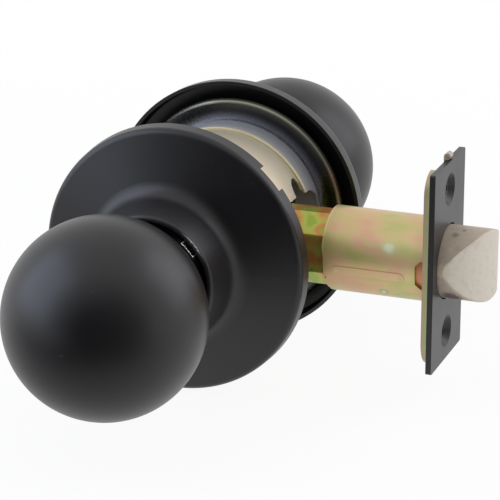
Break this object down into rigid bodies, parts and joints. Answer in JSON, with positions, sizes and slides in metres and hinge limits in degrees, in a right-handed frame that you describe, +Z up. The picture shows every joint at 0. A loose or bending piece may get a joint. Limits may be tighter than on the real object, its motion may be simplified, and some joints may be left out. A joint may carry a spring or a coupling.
{
  "type": "cylindrical lock",
  "caption": "Cylindrical door lock with ball knobs, round roses, drum chassis and a sprung latch bolt that either knob draws back.",
  "frame": {"origin": "where the knob axis crosses the latch axis, in the middle of the door's thickness", "axes": "+Y along the knob axis from the inside of the door to the outside, +X along the latch towards the edge of the door, +Z up"},
  "size_m": [0.1213, 0.191, 0.0758],
  "materials": {
    "black_paint": "satin black paint",
    "yellow_zinc": "yellow zinc plating, iridescent",
    "clear_zinc": "clear zinc plating",
    "nickel": "satin nickel plating",
    "spring_steel": "bare spring steel"
  },
  "bodies": {
    "chassis": {"front_housing": "yellow_zinc", "rear_housing": "yellow_zinc", "inside_hub": "clear_zinc", "outside_hub": "clear_zinc", "inside_hub_nut": "clear_zinc", "outside_hub_nut": "clear_zinc", "chassis_frame": "yellow_zinc", "inside_rose_plate": "clear_zinc", "outside_rose_plate": "clear_zinc", "inside_rose": "black_paint", "outside_rose": "black_paint", "mounting_screws": "clear_zinc", "latch_case": "yellow_zinc", "latch_spring_seat": "clear_zinc", "latch_tube": "yellow_zinc", "backing_plate": "yellow_zinc", "faceplate": "black_paint", "retractor_springs": "spring_steel", "latch_spring": "spring_steel"},
    "inside_knob": {"inside_knob": "black_paint", "inside_knob_insert": "clear_zinc", "inside_spindle": "clear_zinc", "inside_catch_spring": "spring_steel"},
    "outside_knob": {"outside_knob": "black_paint", "outside_knob_insert": "clear_zinc", "outside_spindle": "clear_zinc", "outside_catch_spring": "spring_steel"},
    "inside_catch": {"inside_catch": "spring_steel"},
    "outside_catch": {"outside_catch": "spring_steel"},
    "retractor": {"retractor": "clear_zinc"},
    "latch_bolt": {"latch_bolt": "nickel", "latch_tail": "clear_zinc"}
  },
  "joints": [
    {"name": "inside_knob_turn", "type": "hinge", "parent": "chassis", "child": "inside_knob", "pos_m": [0, 0, 0], "axis": [0, -1, 0], "range_deg": [0, 67.7], "stiffness_Nm_per_rad": 0.15, "springref_deg": -11.46},
    {"name": "outside_knob_turn", "type": "hinge", "parent": "chassis", "child": "outside_knob", "pos_m": [0, 0, 0], "axis": [0, -1, 0], "range_deg": [-67.7, 67.7], "stiffness_Nm_per_rad": 0.15},
    {"name": "retractor_slide", "type": "slide", "parent": "chassis", "child": "retractor", "axis": [-1, 0, 0], "range_m": [0, 0.0127], "deforming": ["retractor_springs"]},
    {"name": "bolt_slide", "type": "slide", "parent": "chassis", "child": "latch_bolt", "axis": [-1, 0, 0], "range_m": [0, 0.0127], "deforming": ["latch_spring"]},
    {"name": "inside_catch_press", "type": "slide", "parent": "inside_knob", "child": "inside_catch", "axis": [-0.7396, 0, -0.673], "range_m": [0, 0.0032], "stiffness_N_per_m": 600, "springref_m": -0.0005, "deforming": ["inside_catch_spring"]},
    {"name": "outside_catch_press", "type": "slide", "parent": "outside_knob", "child": "outside_catch", "axis": [-0.7396, 0, -0.673], "range_m": [0, 0.0032], "stiffness_N_per_m": 600, "springref_m": -0.0005, "deforming": ["outside_catch_spring"]}
  ],
  "couplings": [
    {"joint": "retractor_slide", "follows": "inside_knob_turn", "m_per_rad": 0.010748},
    {"joint": "bolt_slide", "follows": "inside_knob_turn", "m_per_rad": 0.010748}
  ]
}
